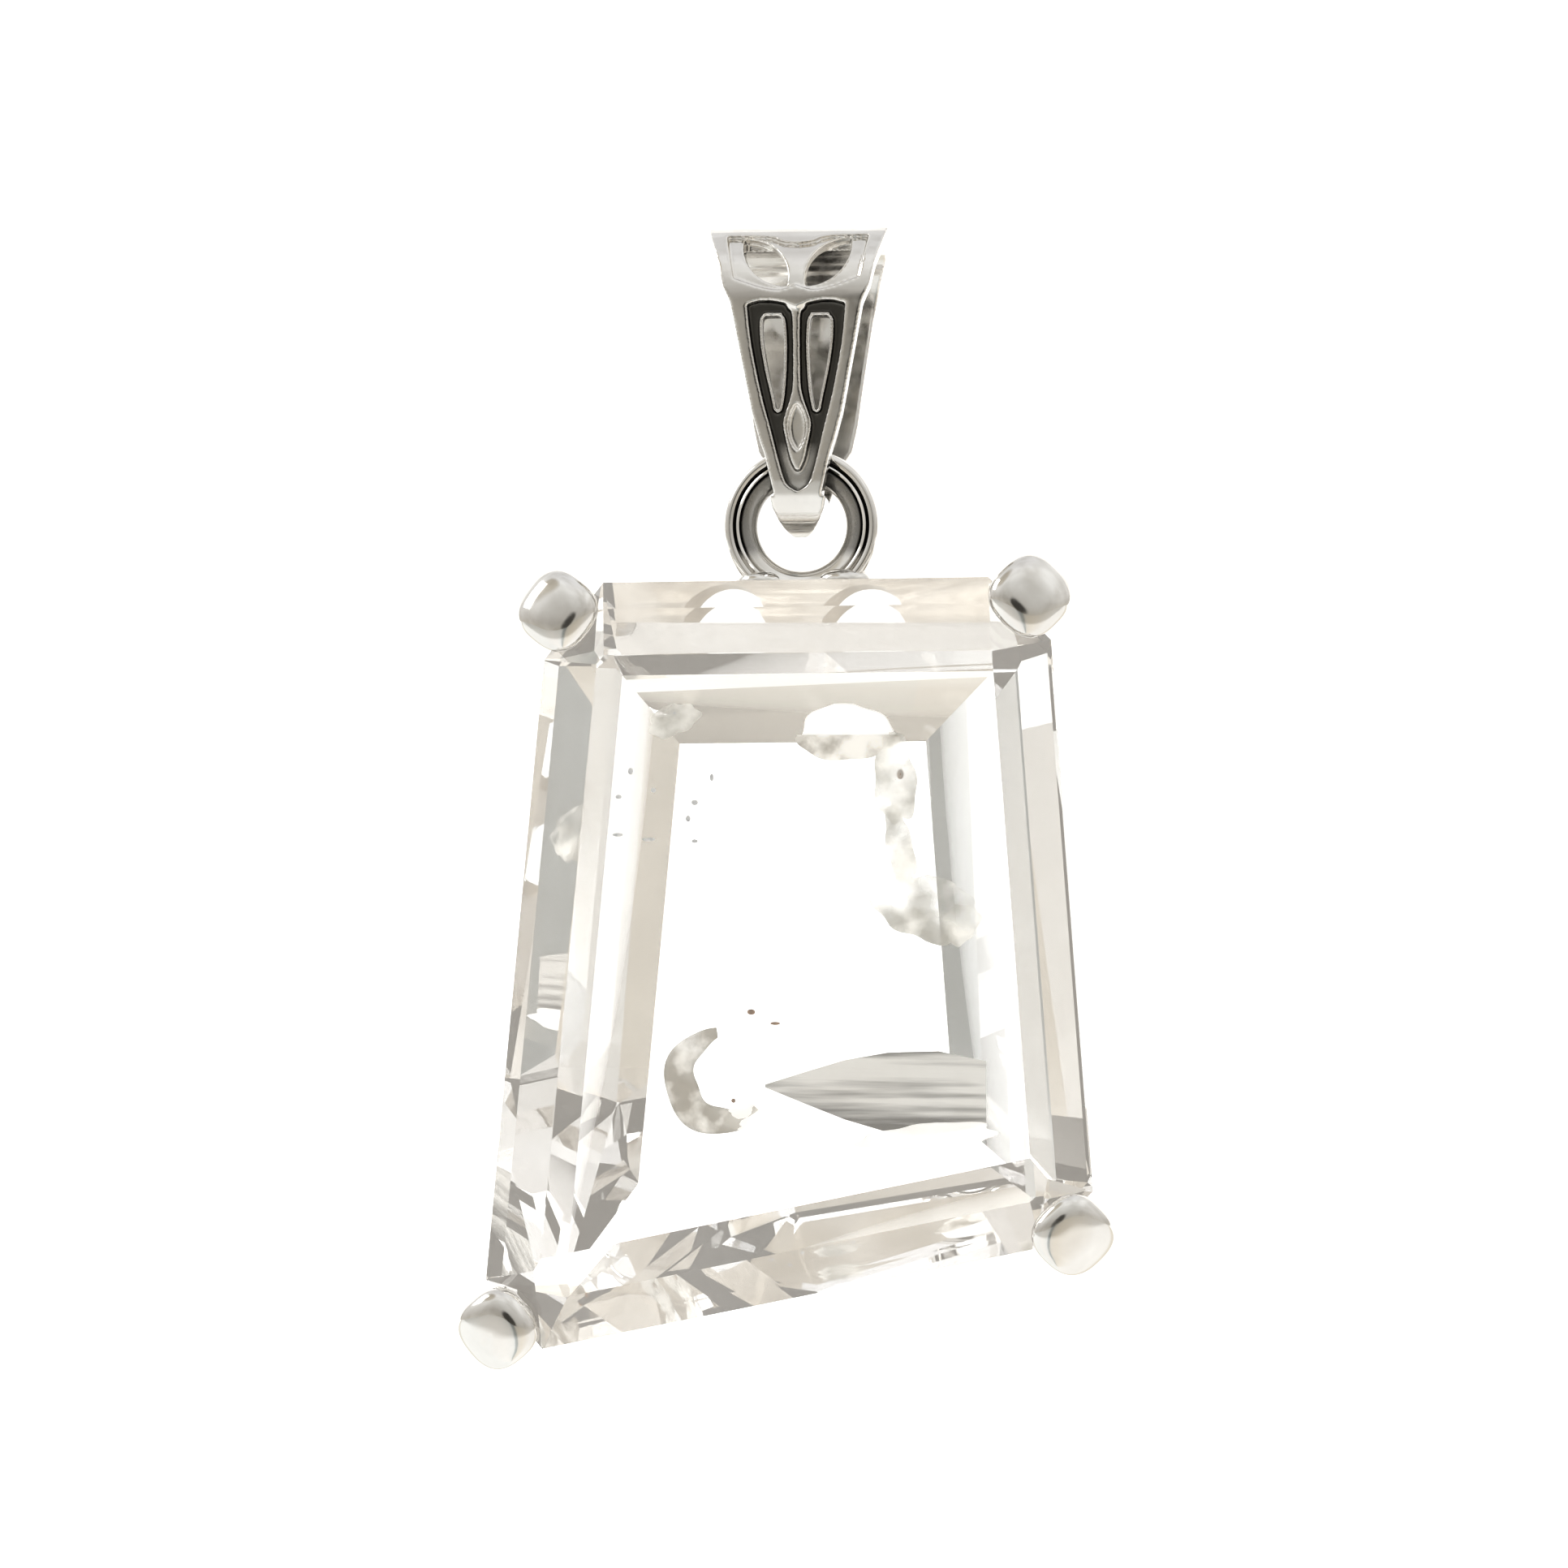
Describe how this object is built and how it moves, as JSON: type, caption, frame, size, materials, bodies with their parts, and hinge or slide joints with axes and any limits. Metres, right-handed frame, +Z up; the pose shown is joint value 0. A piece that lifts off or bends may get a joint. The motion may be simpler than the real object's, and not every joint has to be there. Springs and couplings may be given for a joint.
{
  "type": "herkimer diamond pendant",
  "caption": "Large tapered step-cut clear quartz in a pierced four-prong setting that swings by a soldered ring from a cast, pierced and oxidised bail.",
  "frame": {"origin": "top of the inside of the bail, where the chain lies", "axes": "+Z up, the front of the pendant faces -Y, and the chain runs along X"},
  "size_m": [0.0214, 0.0068, 0.0374],
  "materials": {
    "bail_silver": "polished sterling silver, darkened in the recesses",
    "setting_silver": "bright polished sterling silver",
    "clear_quartz": "cut and polished, clear with a few natural inclusions"
  },
  "bodies": {
    "bail": {"bail": "bail_silver"},
    "drop": {"setting": "setting_silver", "stone": "clear_quartz"}
  },
  "joints": [
    {"name": "drop_swing", "type": "hinge", "parent": "bail", "child": "drop", "pos_m": [0, 0, -0.00705], "axis": [1, 0, 0], "range_deg": [-75, 75]}
  ]
}
